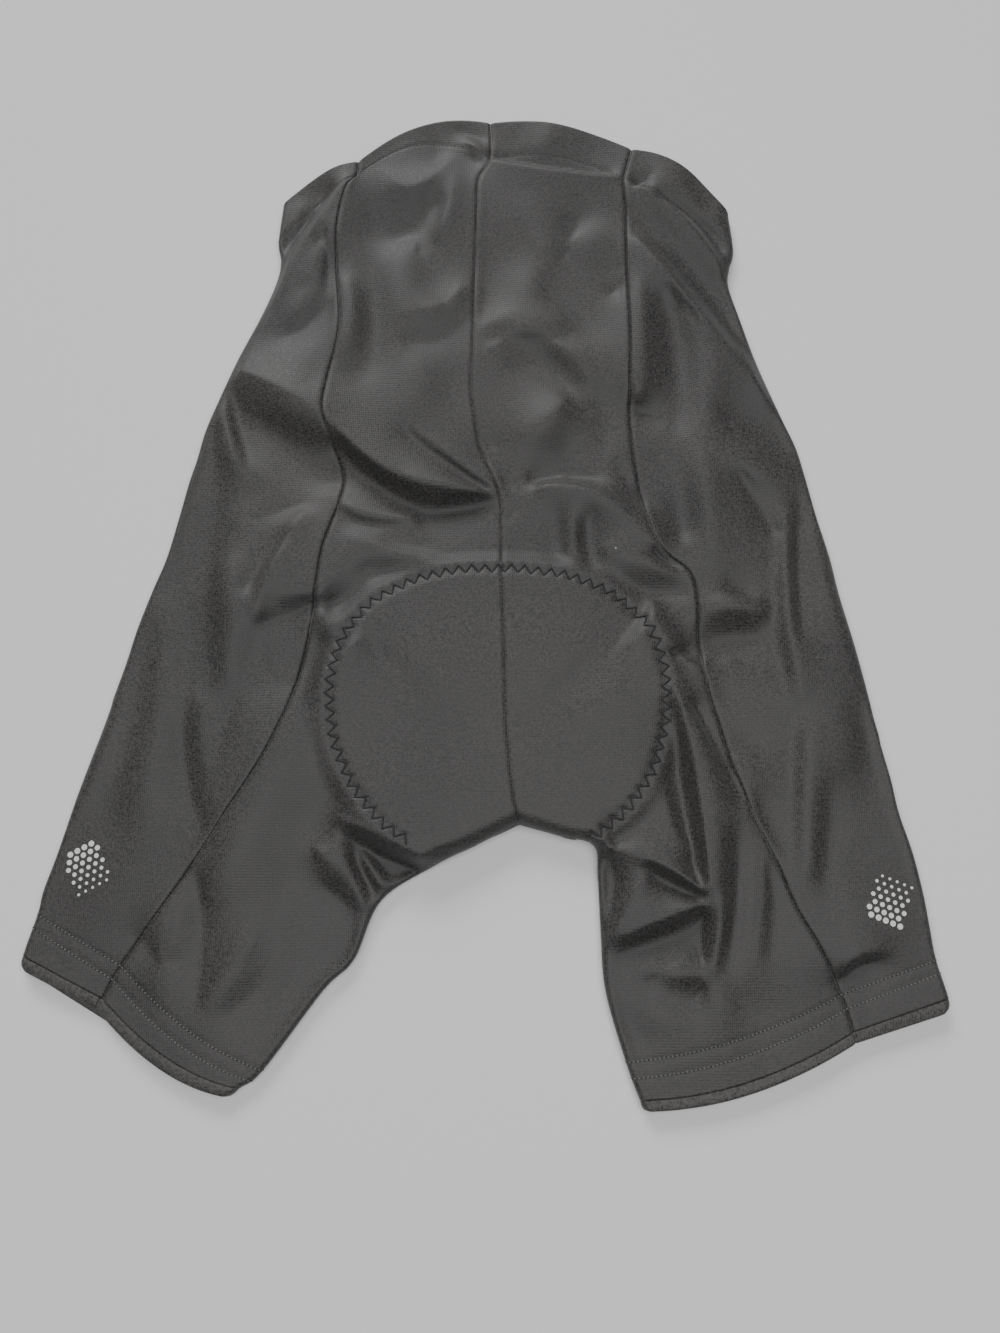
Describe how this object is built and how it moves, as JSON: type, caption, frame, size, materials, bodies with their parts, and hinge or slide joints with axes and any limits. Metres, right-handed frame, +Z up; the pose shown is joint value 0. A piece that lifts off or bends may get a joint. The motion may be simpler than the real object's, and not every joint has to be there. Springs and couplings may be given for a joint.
{
  "type": "cycling shorts",
  "caption": "Padded cycling shorts laid flat with the seat up, back and side panels folded round the edges, ribbed elastic at the leg edges.",
  "frame": {"origin": "on the surface the shorts lie on, under the middle of their bounding box", "axes": "+Z up, away from the surface, +Y towards the waist, +X to the right when the seat is seen with the waist away"},
  "size_m": [0.496, 0.5858, 0.02],
  "materials": {
    "charcoal_knit": "fine matte stretch knit",
    "waist_casing": "double stretch knit over elastic",
    "ribbed_elastic": "narrow ribbed elastic",
    "pad_foam": "fleece-faced foam pad",
    "dark_thread": "polyester sewing thread",
    "reflective_print": "heat-pressed reflective dots"
  },
  "bodies": {
    "root": {"back_left": "charcoal_knit", "back_right": "charcoal_knit", "side_left": "charcoal_knit", "side_right": "charcoal_knit", "front_left": "charcoal_knit", "front_right": "charcoal_knit", "casing_back_left": "waist_casing", "casing_back_right": "waist_casing", "casing_side_left": "waist_casing", "casing_side_right": "waist_casing", "casing_front_left": "waist_casing", "casing_front_right": "waist_casing", "hem_back_left": "charcoal_knit", "hem_back_right": "charcoal_knit", "hem_side_left": "charcoal_knit", "hem_side_right": "charcoal_knit", "hem_front_left": "charcoal_knit", "hem_front_right": "charcoal_knit", "grip_left": "ribbed_elastic", "grip_right": "ribbed_elastic", "seat_pad": "pad_foam"}
  },
  "joints": []
}
